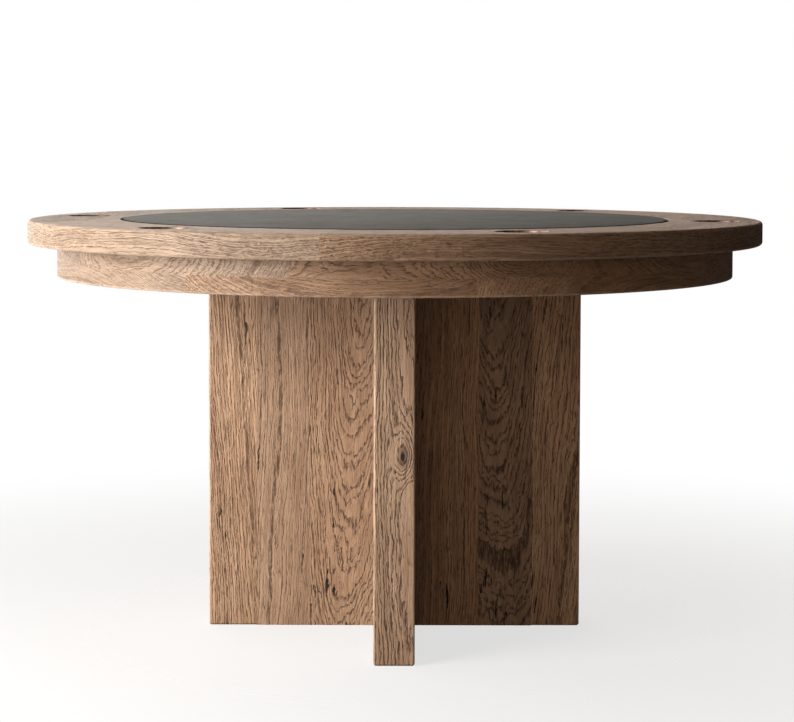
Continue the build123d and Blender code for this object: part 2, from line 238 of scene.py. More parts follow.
def build_brushed_oak(name):
    """Year rings round a pith that runs along X, pores, checks, one knot and the brushed relief."""
    tree, take, give = start_group(
        name,
        [
            ("Vector", "NodeSocketVector", (0, 0, 0)),
            ("Seed", "NodeSocketFloat", 0.0),
            ("Ring Spacing", "NodeSocketFloat", 0.005),
            ("Wander", "NodeSocketFloat", 1.0),
            ("Knot", "NodeSocketVector", (50, 0, 0)),
            ("Knot Size", "NodeSocketFloat", 0.03),
            ("Light Wood", "NodeSocketColor", (0.5, 0.33, 0.21, 1)),
            ("Brown Wood", "NodeSocketColor", (0.33, 0.2, 0.12, 1)),
            ("Pore Wood", "NodeSocketColor", (0.1, 0.05, 0.025, 1)),
            ("Checks", "NodeSocketFloat", 0.5),
            ("Figure", "NodeSocketFloat", 1.0),
        ],
        [
            ("Color", "NodeSocketColor"),
            ("Roughness", "NodeSocketFloat"),
            ("Height", "NodeSocketFloat"),
        ],
    )
    shift = put(tree, "ShaderNodeCombineXYZ", dict.fromkeys(range(3), take["Seed"])).outputs[0]
    place = vector_calc(tree, "ADD", take["Vector"], shift)

    # The trunk bends slowly, and its rings are lobed, waved and finely ragged.
    bends = drift(tree, place, (1.3, 4.0, 4.0), 2.0, 0.5)
    waves = drift(tree, place, (9.0, 30.0, 30.0), 3.0, 0.6)
    rags = drift(tree, place, (60.0, 170.0, 170.0), 2.0, 0.6)
    sideways = calc(tree, "MULTIPLY", take["Wander"], BEND_SIZE)
    bend_size = put(tree, "ShaderNodeCombineXYZ", {1: sideways, 2: sideways}).outputs[0]
    wave_size = vector_calc(tree, "MULTIPLY", bend_size, (0.0, WAVE_SHARE, WAVE_SHARE))
    bent = pushed(tree, take["Vector"], bends, bend_size)
    bent = pushed(tree, bent, waves, wave_size)
    bent = pushed(tree, bent, rags, (0.0, RAG_SIZE, RAG_SIZE))
    radius = length_of(tree, vector_calc(tree, "MULTIPLY", bent, (0.0, 1.0, 1.0)))

    # A knot pushes the rings round it into closed loops that are longer along the grain.
    to_knot = vector_calc(tree, "SUBTRACT", take["Vector"], take["Knot"])
    knot_way = length_of(tree, vector_calc(tree, "MULTIPLY", to_knot, (0.45, 1, 1)))
    knot_share = calc(tree, "DIVIDE", knot_way, take["Knot Size"])
    fall_off = calc(tree, "MULTIPLY", calc(tree, "POWER", knot_share, 2.0), -0.5)
    knot_pull = calc(tree, "EXPONENT", fall_off)
    rings = calc(tree, "DIVIDE", radius, take["Ring Spacing"])
    rings = calc(tree, "MULTIPLY_ADD", knot_pull, KNOT_RINGS, rings)
    years = put(tree, "ShaderNodeTexNoise", {"W": rings, "Scale": 0.37, "Detail": 1.0},
                noise_dimensions="1D")
    rings = calc(tree, "MULTIPLY_ADD", years.outputs["Fac"], YEAR_SPREAD, rings)
    year = calc(tree, "FRACT", rings)
    spring, autumn = ramp(tree, year, 0.0, 0.42, 1.0, 0.0), ramp(tree, year, 0.92, 1.0)
    early = calc(tree, "MAXIMUM", spring, autumn)

    # Pores break the early wood into short dark dashes that ripple along the grain,
    # with a few in the late wood.
    ripples = drift(tree, place, (38.0, 60.0, 60.0), 3.0, 0.6)
    rippled = pushed(tree, place, ripples, (0.0, RIPPLE_SIZE, RIPPLE_SIZE))
    dashes = noise(tree, rippled, (30.0, 300.0, 300.0), 3.0, 0.65)
    pores = noise(tree, rippled, (70.0, 1500.0, 1500.0), 1.0, 0.5)
    threads = noise(tree, rippled, (20.0, 400.0, 400.0), 3.0, 0.65)
    fibres = noise(tree, place, (4.5, 95.0, 95.0), 3.0, 0.6)
    clouds = noise(tree, place, (2.0, 8.0, 8.0), 3.0, 0.6)
    early = calc(tree, "MULTIPLY", early, take["Figure"])
    groove = calc(tree, "MULTIPLY", early, ramp(tree, dashes, 0.38, 0.58))
    stray = calc(tree, "MULTIPLY", ramp(tree, dashes, 0.58, 0.70), take["Figure"])
    pit_share = ramp(tree, early, 0.0, 1.0, 0.25, 1.0)
    pits = calc(tree, "MULTIPLY", ramp(tree, pores, 0.55, 0.68), pit_share)

    # Drying checks open here and there along the grain.
    split_line = ramp(tree, noise(tree, rippled, (14.0, 150.0, 150.0), 2.0, 0.55), 0.62, 0.67)
    split_zone = ramp(tree, noise(tree, place, (7.0, 16.0, 16.0), 1.0, 0.5), 0.57, 0.66)
    split = calc(tree, "MULTIPLY", calc(tree, "MULTIPLY", split_line, split_zone), take["Checks"])
    ragged = calc(tree, "MULTIPLY_ADD", fibres, 0.5, knot_share)
    ragged = calc(tree, "MULTIPLY_ADD", dashes, 0.5, ragged)
    heart = ramp(tree, ragged, 0.66, 0.80, 1.0, 0.0)
    bark = ramp(tree, ragged, 0.80, 1.45, 0.75, 0.0)
    opened = calc(tree, "MAXIMUM", split, heart)

    light, brown, pore = take["Light Wood"], take["Brown Wood"], take["Pore Wood"]
    streaks = calc(tree, "MULTIPLY_ADD", clouds, 0.5, calc(tree, "MULTIPLY", fibres, 0.5))
    body = blend_colour(tree, ramp(tree, streaks, 0.40, 0.62), light, brown)
    body = blend_colour(tree, ramp(tree, threads, 0.44, 0.62, 0.0, 0.55), body, brown)
    body = blend_colour(tree, ramp(tree, threads, 0.30, 0.44, 0.45, 0.0), body, light)
    for mask, share, wood in ((early, 0.30, brown), (groove, 0.9, pore), (stray, 0.55, pore),
                              (pits, 0.4, pore)):
        body = blend_colour(tree, calc(tree, "MULTIPLY", mask, share), body, wood)
    for mask, wood in ((bark, pore), (heart, KNOT_HEART), (split, SPLIT_SHADE)):
        body = blend_colour(tree, mask, body, wood)

    relief = 1.0
    for mask, rise in ((groove, -0.6), (early, -0.2), (stray, -0.35), (pits, -0.15),
                       (threads, -0.7), (fibres, 0.6), (opened, -1.6)):
        relief = calc(tree, "MULTIPLY_ADD", mask, rise, relief)
    gloss = calc(tree, "MULTIPLY_ADD", fibres, 0.12, 0.44)
    gloss = calc(tree, "MULTIPLY_ADD", early, 0.16, gloss)
    gloss = calc(tree, "MULTIPLY_ADD", opened, 0.4, gloss, clamp=True)
    for label, value in (("Color", body), ("Roughness", gloss), ("Height", relief)):
        tree.links.new(value, give.inputs[label])
    return tree


def build_arris_wear_and_highlight(name):
    """How near a point is to the arris between two faces, broken up in patches: a mask for wood
    that is partly worn and partly a painted highlight.
    """
    tree, take, give = start_group(
        name,
        [
            ("Vector", "NodeSocketVector", (0, 0, 0)),
            ("First Distance", "NodeSocketFloat", 1.0),
            ("Second Distance", "NodeSocketFloat", 1.0),
            ("Reach", "NodeSocketFloat", 0.006),
        ],
        [("Mask", "NodeSocketFloat")],
    )
    both = calc(tree, "ADD", take["First Distance"], take["Second Distance"])
    near = ramp(tree, calc(tree, "DIVIDE", both, take["Reach"]), 0.35, 1.0, 1.0, 0.0)
    patches = noise(tree, take["Vector"], (38.0, 38.0, 38.0), 4.0, 0.7)
    patchy = ramp(tree, patches, 0.36, 0.56, 0.35, 1.0)
    tree.links.new(calc(tree, "MULTIPLY", near, patchy), give.inputs["Mask"])
    return tree


def arris_wear_and_highlight(tree, place, first, second, reach):
    """Worn wood and painted highlight along one arris, as a mask."""
    group = put(tree, "ShaderNodeGroup", node_tree=group_once("Arris wear and highlight", build_arris_wear_and_highlight))
    for label, value in (("Vector", place), ("First Distance", first), ("Second Distance", second)):
        tree.links.new(value, group.inputs[label])
    group.inputs["Reach"].default_value = reach
    return group.outputs["Mask"]


def ring_wear_and_highlight(radius, top, bottom, reach=0.006, painted_sheen_share=0.0):
    """Worn wood and painted highlight along a ring's upper and lower outer arrises, and a painted
    sheen that pales its whole top by a share.
    """
    def build(tree):
        place = own_place(tree)
        depth = calc(tree, "SUBTRACT", radius, off_axis(tree, place))
        height = height_of(tree, place)
        upper = arris_wear_and_highlight(tree, place, depth, calc(tree, "SUBTRACT", top, height), reach)
        lower = arris_wear_and_highlight(tree, place, depth, calc(tree, "SUBTRACT", height, bottom), reach)
        # Painted sheen: the ring's whole top is paled, a painted reflection.
        painted_top_sheen = ramp(tree, height, top - 0.002, top - 0.0002, 0.0, painted_sheen_share)
        return calc(tree, "MAXIMUM", painted_top_sheen, calc(tree, "MAXIMUM", upper, lower))
    return build


def wing_wear_and_highlight(turn, length, half_thickness, reach=0.0045):
    """Worn wood and painted highlight along the two upright arrises at the end of a wing."""
    def build(tree):
        place = piece_place(tree, turn=(0, 0, turn))
        sides = put(tree, "ShaderNodeSeparateXYZ", {0: place}).outputs
        depth = calc(tree, "SUBTRACT", half_thickness, calc(tree, "ABSOLUTE", sides["Y"]))
        end = calc(tree, "SUBTRACT", length, sides["X"])
        return arris_wear_and_highlight(tree, place, depth, end, reach)
    return build


def oak(name, pith, grain, seed, spacing=0.005, wander=1.0, knot=None, knot_size=0.03, tone=1.0,
        warmth=0.0, checks=0.5, figure=1.0, wear_and_highlight=None):
    """Brushed oak for one board, its pith through that point in the grain's direction."""
    settings = bpy.context.scene.oak_finish
    material, tree, shader = new_material(name)
    turn = Vector(grain).to_track_quat("X", "Z").to_euler()
    group = put(tree, "ShaderNodeGroup", node_tree=group_once("Brushed oak", build_brushed_oak))
    tree.links.new(piece_place(tree, pith, turn), group.inputs["Vector"])
    numbers = {"Seed": seed, "Ring Spacing": spacing, "Wander": wander, "Checks": checks,
               "Figure": figure}
    if knot:
        numbers["Knot"] = turn.to_matrix().transposed() @ (Vector(knot) - Vector(pith))
        numbers["Knot Size"] = knot_size
    tint = (1.0 + warmth, 1.0, 1.0 - warmth)
    for label, colour in (("Light Wood", settings.light_wood), ("Brown Wood", settings.brown_wood),
                          ("Pore Wood", settings.pore_wood)):
        numbers[label] = [part * tone * side for part, side in zip(colour, tint)] + [1.0]
    for label, value in numbers.items():
        group.inputs[label].default_value = value
    colour = group.outputs["Color"]
    # Paler wood along the arrises: partly worn wood, partly a painted highlight.
    if wear_and_highlight:
        rubbed_and_highlit = [part * tone * RUBBED_AND_HIGHLIGHT_GAIN + RUBBED_AND_HIGHLIGHT_LIFT for part in settings.light_wood] + [1.0]
        amount = calc(tree, "MULTIPLY", wear_and_highlight(tree), WEAR_AND_HIGHLIGHT_SHARE)
        colour = blend_colour(tree, amount, colour, rubbed_and_highlit)
    dress(tree, shader, colour, group.outputs["Roughness"], group.outputs["Height"], 1.0,
          settings.brush_depth)
    return material


# ---------------------------------------------------------------- settings


class OakFinish(bpy.types.PropertyGroup):
    """The oak's colours and the depth of its brushing."""

    light_wood: bpy.props.FloatVectorProperty(
        name="Light wood", description="Colour of the smooth late wood", subtype="COLOR",
        default=(0.50, 0.325, 0.205), min=0, max=1)
    brown_wood: bpy.props.FloatVectorProperty(
        name="Brown wood", description="Colour of the darker streaks and clouds", subtype="COLOR",
        default=(0.33, 0.195, 0.112), min=0, max=1)
    pore_wood: bpy.props.FloatVectorProperty(
        name="Pore wood", description="Colour in the open pores of the early wood", subtype="COLOR",
        default=(0.080, 0.038, 0.019), min=0, max=1)
    brush_depth: bpy.props.FloatProperty(
        name="Brush depth", description="How deep the soft early wood is brushed out",
        subtype="DISTANCE", unit="LENGTH", default=0.0017, min=0, max=0.004)


class LeatherFinish(bpy.types.PropertyGroup):
    """The playing surface's leather."""

    colour: bpy.props.FloatVectorProperty(
        name="Colour", description="Colour of the leather", subtype="COLOR",
        default=(0.044, 0.0465, 0.0405), min=0, max=1)
    edge_radius: bpy.props.FloatProperty(
        name="Edge radius", description="Radius that the leather takes round the panel's edge",
        subtype="DISTANCE", unit="LENGTH", default=0.004, min=0.001, max=0.008)
    hem_width: bpy.props.FloatProperty(
        name="Hem width", description="How far the leather is turned in under the panel",
        subtype="DISTANCE", unit="LENGTH", default=0.030, min=0.01, max=0.06)
    grain_size: bpy.props.FloatProperty(
        name="Grain size", description="Size of the leather's pebbles",
        subtype="DISTANCE", unit="LENGTH", default=0.0016, min=0.0005, max=0.005)


class CupFinish(bpy.types.PropertyGroup):
    """The cup inserts' section and metal."""

    colour: bpy.props.FloatVectorProperty(
        name="Colour", description="Colour of the polished metal", subtype="COLOR",
        default=(0.36, 0.23, 0.18), min=0, max=1)
    wall: bpy.props.FloatProperty(
        name="Wall", description="Thickness of the spun metal",
        subtype="DISTANCE", unit="LENGTH", default=0.001, min=0.0005, max=0.002)
    flange: bpy.props.FloatProperty(
        name="Flange", description="Width of the flange outside the wall",
        subtype="DISTANCE", unit="LENGTH", default=0.004, min=0.002, max=0.01)


class StudioLight(bpy.types.PropertyGroup):
    """The strength of the studio's lights."""

    key_power: bpy.props.FloatProperty(
        name="Key power", description="Power of the large soft light at the left",
        subtype="POWER", default=95.0, min=0, max=1000)
    fill_power: bpy.props.FloatProperty(
        name="Fill power", description="Power of the weak warm light in front",
        subtype="POWER", default=25.0, min=0, max=1000)
    backdrop: bpy.props.FloatProperty(
        name="Backdrop", description="Brightness of the pale wall behind the table",
        default=2.6, min=0, max=5)
    room: bpy.props.FloatProperty(
        name="Room", description="Brightness of the rest of the room",
        default=0.05, min=0, max=2)


# ---------------------------------------------------------------- pieces


def around(angle, radius, height):
    """A point on a circle round the table's axis."""
    return (radius * math.cos(math.radians(angle)), radius * math.sin(math.radians(angle)), height)


def along(angle, lean=0.0):
    """The direction that runs round the table at that angle, leaning up a little."""
    return (-math.sin(math.radians(angle)), math.cos(math.radians(angle)), lean)


class FinishRim(bpy.types.Operator):
    """Gives each rim segment its own brushed oak, with the grain along the segment"""

    bl_idname = "gaming_table.finish_rim"
    bl_label = "Rim oak"

    # Each segment: where its face runs along the grain, its pith's radius and rise above the
    # rim's top, lean, tone, warmth and figure.
    # Tone and warmth are partly each segment's own colour and partly painted light: the left and
    # front-left segments, facing the key light, are greyer for its washed-out highlight, and the
    # front-right and right ones darker and warmer as painted shade.
    plans = (
        (50, 0.63, -0.30, 0.010, 1.00, 0.02, 0.8),
        (110, 0.60, 0.26, -0.012, 0.97, 0.00, 0.9),
        (170, 0.62, -0.34, 0.008, 0.86, -0.14, 0.65),
        (230, 0.61, 0.30, -0.010, 0.86, -0.07, 0.75),
        (290, 0.64, -0.26, 0.014, 0.77, 0.05, 0.9),
        (350, 0.60, 0.30, -0.008, 0.76, 0.10, 0.9),
    )

    def execute(self, context):
        # Worn wood and painted highlight along the rim's arrises, and a painted sheen that pales
        # its top by half.
        wear_and_highlight = ring_wear_and_highlight(CAD_BOX[1].x, RIM_TOP, RIM_BOTTOM, painted_sheen_share=0.5)
        for number, plan in enumerate(self.plans, 1):
            angle, radius, rise, lean, tone, warmth, figure = plan
            material = oak(f"rim_oak_{number}", around(angle, radius, RIM_TOP + rise),
                           along(angle, lean), 3.1 * number, spacing=0.0030, wander=0.75,
                           tone=tone, warmth=warmth, checks=0.3, figure=figure, wear_and_highlight=wear_and_highlight)
            finish_with(f"rim_segment_{number}", material)
        tongues = oak("tongue_oak", (0, 0, 0.7), (1, 0.4, 0), 23.0, tone=0.8)
        finish_with("rim_tongues", tongues)
        return {"FINISHED"}


class FinishApron(bpy.types.Operator):
    """Gives each curved apron block its own brushed oak"""

    bl_idname = "gaming_table.finish_apron"
    bl_label = "Apron oak"

    # Each block: where its face runs along the grain, its pith's radius and rise above the
    # block's middle, lean, tone, warmth and figure.
    # Tone and warmth are partly each block's own colour and partly painted light: the left and
    # front-left blocks are greyer for the key light's washed-out highlight, and the front and right
    # blocks darker and warmer as painted shade.
    courses = {
        "lower": (
            (34, 0.56, 0.02, 0.02, 1.00, 0.02, 0.64),
            (80, 0.70, -0.05, -0.04, 0.94, 0.00, 0.56),
            (124, 0.57, 0.06, 0.05, 0.98, -0.02, 0.64),
            (170, 0.68, -0.04, 0.03, 0.76, -0.08, 0.40),
            (212, 0.55, 0.07, -0.09, 0.74, -0.06, 0.48),
            (268, 0.68, 0.09, 0.02, 0.69, 0.09, 0.64),
            (318, 0.70, -0.06, -0.05, 0.78, 0.10, 0.56),
            (350, 0.58, 0.04, 0.03, 0.80, 0.08, 0.64),
        ),
        "upper": (
            (56, 0.69, 0.04, -0.03, 0.96, 0.02, 0.64),
            (98, 0.56, -0.05, 0.04, 1.00, 0.01, 0.56),
            (146, 0.68, 0.05, 0.02, 0.95, -0.01, 0.64),
            (190, 0.57, 0.03, -0.04, 0.74, -0.08, 0.48),
            (224, 0.69, 0.01, 0.03, 0.76, -0.05, 0.56),
            (264, 0.565, 0.01, 0.015, 0.68, 0.09, 0.72),
            (326, 0.69, 0.03, -0.03, 0.78, 0.10, 0.56),
            (12, 0.57, -0.04, 0.04, 0.84, 0.07, 0.64),
        ),
    }
    first_seeds = {"lower": 0.0, "upper": 20.0}

    def execute(self, context):
        outside = max(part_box(f"apron_lower_{number}")[1].x
                      for number in range(1, BLOCKS_A_COURSE + 1))
        # The apron's upper arris is hidden against the rim, so its worn and highlit band is set out
        # of reach.
        wear_and_highlight = ring_wear_and_highlight(outside, RIM_BOTTOM + 0.05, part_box("apron_lower_1")[0].z, 0.005)
        for course, plans in self.courses.items():
            for number, plan in enumerate(plans, 1):
                angle, radius, rise, lean, tone, warmth, figure = plan
                low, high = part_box(f"apron_{course}_{number}")
                pith = around(angle, radius, (low.z + high.z) / 2 + rise)
                seed = 1.9 * number + self.first_seeds[course]
                material = oak(f"apron_oak_{course}_{number}", pith, along(angle, lean), seed,
                               spacing=0.0030, wander=0.5, tone=tone, warmth=warmth,
                               checks=0.2, figure=figure, wear_and_highlight=wear_and_highlight)
                finish_with(f"apron_{course}_{number}", material)
        return {"FINISHED"}


class FinishPedestal(bpy.types.Operator):
    """Gives each pedestal board its own brushed oak, with the grain upright"""

    bl_idname = "gaming_table.finish_pedestal"
    bl_label = "Pedestal oak"

    # Each board: its pith's place along the wing and to its side, its lean along the wing and
    # to the side, ring spacing, tone and warmth.
    # Tone and warmth are partly each board's own colour and partly painted light and shade, matched
    # to how bright each face stands under the left light and in the front arm's shadow.
    plans = {
        "right_inner": (0.32, 0.03, 0.01, 0.02, 0.0038, 1.18, 0.10),
        "right_middle": (0.200, 0.07, 0.01, -0.10, 0.0036, 0.74, 0.04),
        "right_outer": (0.42, 0.06, 0.05, 0.03, 0.0034, 1.22, 0.05),
        "back_inner": (0.10, -0.06, 0.02, -0.05, 0.0044, 0.98, 0.0),
        "back_middle": (0.40, 0.04, 0.02, 0.01, 0.0040, 1.02, 0.02),
        "back_outer": (0.30, 0.07, -0.02, 0.05, 0.0046, 0.95, -0.01),
        "left_inner": (0.070, 0.085, -0.05, -0.14, 0.0038, 0.90, 0.02),
        "left_middle": (0.335, -0.035, -0.03, 0.01, 0.0034, 0.95, 0.0),
        "left_outer": (0.12, 0.05, 0.02, -0.02, 0.0040, 1.20, 0.0),
        "front_inner": (0.10, 0.06, 0.02, 0.04, 0.0044, 0.98, 0.0),
        "front_middle": (0.38, -0.04, 0.01, 0.02, 0.0042, 1.02, 0.01),
        "front_outer": (0.275, 0.04, 0.03, 0.01, 0.0034, 1.07, -0.02),
    }

    turns = {"right": 0, "back": 90, "left": 180, "front": 270}
    knots = {"front_outer": ((0.016, -WING_LENGTH, 0.368), 0.013)}
    pith_height = 0.36

    def execute(self, context):
        for number, (name, plan) in enumerate(self.plans.items(), 1):
            station, side, lean, side_lean, spacing, tone, warmth = plan
            wing, place = name.split("_")
            turn = math.radians(self.turns[wing])
            turned = Matrix.Rotation(turn, 3, "Z")
            knot, knot_size = self.knots.get(name, (None, 0.03))
            material = oak(f"{name}_oak", turned @ Vector((station, side, self.pith_height)),
                           turned @ Vector((lean, side_lean, 1.0)), 4.3 * number,
                           spacing=spacing, wander=0.85, knot=knot, knot_size=knot_size,
                           tone=tone, warmth=warmth, checks=1.0,
                           wear_and_highlight=wing_wear_and_highlight(turn, WING_LENGTH, WING_HALF))
            finish_with(f"{wing}_wing_{place}_board", material)
        hidden = oak("post_oak", (0.02, 0.03, 0.3), (0.02, 0.0, 1.0), 41.0, tone=0.85)
        finish_with("centre_post", hidden)
        finish_with("wing_tenons", hidden)
        return {"FINISHED"}


class FinishPlywood(bpy.types.Operator):
    """Gives the sub-top and the panel's core plywood faces and layered edges"""

    bl_idname = "gaming_table.finish_plywood"
    bl_label = "Plywood"

    ply = 0.0028
    pale_veneer, brown_veneer = (0.60, 0.43, 0.26, 1), (0.47, 0.31, 0.17, 1)
    cross_veneer, glue_line = (0.30, 0.19, 0.10, 1), (0.12, 0.07, 0.04, 1)

    def execute(self, context):
        for name, sheet_start in (("sub_top", 0.0), ("panel_core", 5.0)):
            material, tree, shader = new_material(f"{name}_plywood")
            place = piece_place(tree, (sheet_start, 0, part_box(name)[0].z))
            layer = calc(tree, "FRACT", calc(tree, "DIVIDE", height_of(tree, place), self.ply))
            cross = calc(tree, "MULTIPLY", ramp(tree, layer, 0.48, 0.52), 0.35)
            from_joint = calc(tree, "ABSOLUTE", calc(tree, "SUBTRACT", layer, 0.5))
            glue = calc(tree, "MULTIPLY", ramp(tree, from_joint, 0.0, 0.08, 1.0, 0.0), 0.5)
            grain = noise(tree, place, (5.0, 160.0, 40.0), 3.0, 0.6)
            streaks = ramp(tree, grain, 0.35, 0.7)
            body = blend_colour(tree, streaks, self.pale_veneer, self.brown_veneer)
            body = blend_colour(tree, cross, body, self.cross_veneer)
            body = blend_colour(tree, glue, body, self.glue_line)
            gloss = ramp(tree, grain, 0.3, 0.7, 0.5, 0.68)
            dress(tree, shader, body, gloss, grain, 0.5, 0.0003)
            finish_with(name, material)
        return {"FINISHED"}


def shade(colour, share=1.0):
    """A colour made lighter or darker by a share, with its alpha."""
    return [part * share for part in colour] + [1.0]


def leather_material():
    """Dark grey-green leather with a pebbled grain, clouds and scuffs, and painted shade blackening
    its edge where the gap round the panel lies.
    """
    settings = bpy.context.scene.leather_finish
    material, tree, shader = new_material("playing_leather")
    place = piece_place(tree)
    cells = calc(tree, "DIVIDE", 1.0, settings.grain_size)
    sockets = {"Vector": place, "Scale": cells, "Smoothness": 0.6}
    pebbles = put(tree, "ShaderNodeTexVoronoi", sockets, feature="SMOOTH_F1").outputs["Distance"]
    creases = noise(tree, place, (420.0, 420.0, 420.0), 3.0, 0.6)
    clouds = ramp(tree, noise(tree, place, (5.0, 5.0, 5.0), 4.0, 0.6), 0.35, 0.68)
    scuffs = noise(tree, place, (26.0, 40.0, 40.0), 3.0, 0.65)
    body = blend_colour(tree, clouds, shade(settings.colour, 0.72), shade(settings.colour, 1.35))
    valleys = calc(tree, "MULTIPLY", ramp(tree, pebbles, 0.25, 0.7), 0.45)
    body = blend_colour(tree, valleys, body, shade(settings.colour, 0.45))
    # Painted shade: the leather is blackened in a band along its edge, where the gap round the
    # panel lies in shade.
    edge = LEATHER_HIGH.x
    rolled = ramp(tree, off_axis(tree, place), edge - 0.004, edge - 0.001)
    body = blend_colour(tree, rolled, body, PAINTED_GAP_SHADE)
    shader.inputs["Specular IOR Level"].default_value = 0.10
    gloss = calc(tree, "MULTIPLY_ADD", scuffs, 0.24, 0.44)
    gloss = calc(tree, "MULTIPLY_ADD", rolled, 0.3, gloss)
    relief = calc(tree, "MULTIPLY_ADD", creases, 0.5, calc(tree, "MULTIPLY", pebbles, -1.0))
    dress(tree, shader, body, gloss, relief, 0.6, 0.0003)
    return material


def spin_section(points, steps, centre=(0, 0)):
    """A closed section of (radius, height) points, spun once round an upright axis."""
    form = bmesh.new()
    corners = [form.verts.new((radius, 0, height)) for radius, height in points]
    edges = [form.edges.new(pair) for pair in zip(corners, corners[1:] + corners[:1])]
    if points[0][0] == 0:
        form.edges.remove(edges.pop())
    bmesh.ops.spin(form, geom=form.verts[:] + form.edges[:], cent=(0, 0, 0), axis=(0, 0, 1),
                   angle=math.tau, steps=steps, use_merge=True)
    bmesh.ops.remove_doubles(form, verts=form.verts, dist=1e-6)
    bmesh.ops.translate(form, verts=form.verts, vec=(centre[0], centre[1], 0))
    return form


def ring_edges(form, centre, radius, height, reach=1e-4):
    """The edges that lie round that axis at that radius and height."""
    def on_ring(corner):
        away = math.hypot(corner.co.x - centre[0], corner.co.y - centre[1])
        return abs(away - radius) < reach and abs(corner.co.z - height) < reach
    return [edge for edge in form.edges if all(on_ring(corner) for corner in edge.verts)]


def round_ring(form, centre, radius, height, width, segments):
    """Bevels one ring of edges."""
    edges = ring_edges(form, centre, radius, height)
    if not edges:
        raise RuntimeError(f"no edges lie at radius {radius} and height {height}")
    bmesh.ops.bevel(form, geom=edges, affect="EDGES", offset=width, offset_type="OFFSET",
                    segments=segments, profile=0.5, material=-1)


def piece_from(form, name, material):
    """A smooth piece with that mesh and material, in the scene."""
    bmesh.ops.recalc_face_normals(form, faces=form.faces)
    for face in form.faces:
        face.smooth = True
    mesh = bpy.data.meshes.new(name)
    form.to_mesh(mesh)
    form.free()
    mesh.materials.append(material)
    piece = bpy.data.objects.new(name, mesh)
    bpy.context.scene.collection.objects.link(piece)
    return piece


class MakeLeather(bpy.types.Operator):
    """Stretches the leather over the panel and turns its hem in underneath"""

    bl_idname = "gaming_table.make_leather"
    bl_label = "Leather cover"

    steps = 180
    rounding = 0.002

    def execute(self, context):
        settings = context.scene.leather_finish
        radius, core_radius = LEATHER_HIGH.x, CORE_HIGH.x
        top, bottom = LEATHER_HIGH.z, LEATHER_LOW.z
        hem = radius - settings.hem_width
        section = [(0, top), (radius, top), (radius, bottom), (hem, bottom), (hem, CORE_LOW.z),
                   (core_radius, CORE_LOW.z), (core_radius, CORE_HIGH.z), (0, CORE_HIGH.z)]
        form = spin_section(section, self.steps)
        round_ring(form, (0, 0), radius, top, settings.edge_radius, 5)
        round_ring(form, (0, 0), radius, bottom, settings.edge_radius / 2, 3)
        for corner in form.verts:
            if abs(math.hypot(corner.co.x, corner.co.y) - hem) < 1e-4:
                turn = math.atan2(corner.co.y, corner.co.x)
                small, large = 1 + math.sin(61 * turn), 1 + math.sin(23 * turn + 1)
                gather = 1 - 0.006 * small - 0.004 * large
                corner.co.x, corner.co.y = corner.co.x * gather, corner.co.y * gather
        cover = piece_from(form, "playing_leather", leather_material())
        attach(cover, "playing_panel")
        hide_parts("leather_cover")
        return {"FINISHED"}


def copper_material():
    """Spun copper with fine lathe lines and a brown patina, darkened below the mouth as painted
    shade for the cup's deep inside.
    """
    settings = bpy.context.scene.cup_finish
    material, tree, shader = new_material("cup_copper")
    place = piece_place(tree)
    lines = noise(tree, place, (60.0, 60.0, 2600.0), 2.0, 0.6)
    worn = ramp(tree, noise(tree, place, (46.0, 46.0, 60.0), 4.0, 0.65), 0.38, 0.66)
    # Painted shade: the wall is darkened from just below the mouth down, for the cup's deep inside
    # in shade.
    depth = calc(tree, "SUBTRACT", CUP_HIGH.z, height_of(tree, place))
    painted_inner_shade = ramp(tree, calc(tree, "MULTIPLY_ADD", worn, 0.002, depth), 0.0008, 0.007)
    body = blend_colour(tree, worn, shade(settings.colour), shade(settings.colour, 0.42))
    body = blend_colour(tree, painted_inner_shade, body, PAINTED_CUP_SHADE)
    shader.inputs["Metallic"].default_value = 1.0
    gloss = calc(tree, "MULTIPLY_ADD", worn, 0.12, 0.48)
    gloss = calc(tree, "MULTIPLY_ADD", painted_inner_shade, 0.16, gloss)
    dress(tree, shader, body, gloss, lines, 0.35, 0.0001)
    return material


class MakeCups(bpy.types.Operator):
    """Spins the six copper cup inserts with rolled mouths and rounded floors"""

    bl_idname = "gaming_table.make_cups"
    bl_label = "Cup inserts"

    steps = 72
    floor_thickness = 1.2  # in walls
    floor_radius, mouth_radius, flange_edge, base_radius = 0.004, 0.0012, 0.0006, 0.003

    def execute(self, context):
        settings = context.scene.cup_finish
        material = copper_material()
        wall = settings.wall
        flange_radius = (CUP_HIGH.x - CUP_LOW.x) / 2
        top, bottom = CUP_HIGH.z, CUP_LOW.z
        outer = flange_radius - settings.flange
        inner = outer - wall
        floor = bottom + self.floor_thickness * wall
        section = [(0, floor), (inner, floor), (inner, top), (flange_radius, top),
                   (flange_radius, top - wall), (outer, top - wall), (outer, bottom), (0, bottom)]
        for number in range(1, CUP_COUNT + 1):
            name = f"cup_{number}"
            low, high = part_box(name)
            centre = ((low.x + high.x) / 2, (low.y + high.y) / 2)
            form = spin_section(section, self.steps, centre)
            round_ring(form, centre, inner, floor, self.floor_radius, 4)
            round_ring(form, centre, inner, top, self.mouth_radius, 4)
            round_ring(form, centre, flange_radius, top, self.flange_edge, 3)
            round_ring(form, centre, outer, bottom, self.base_radius, 4)
            cup = piece_from(form, f"{name}_insert", material)
            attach(cup, name)
            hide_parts(name)
        return {"FINISHED"}


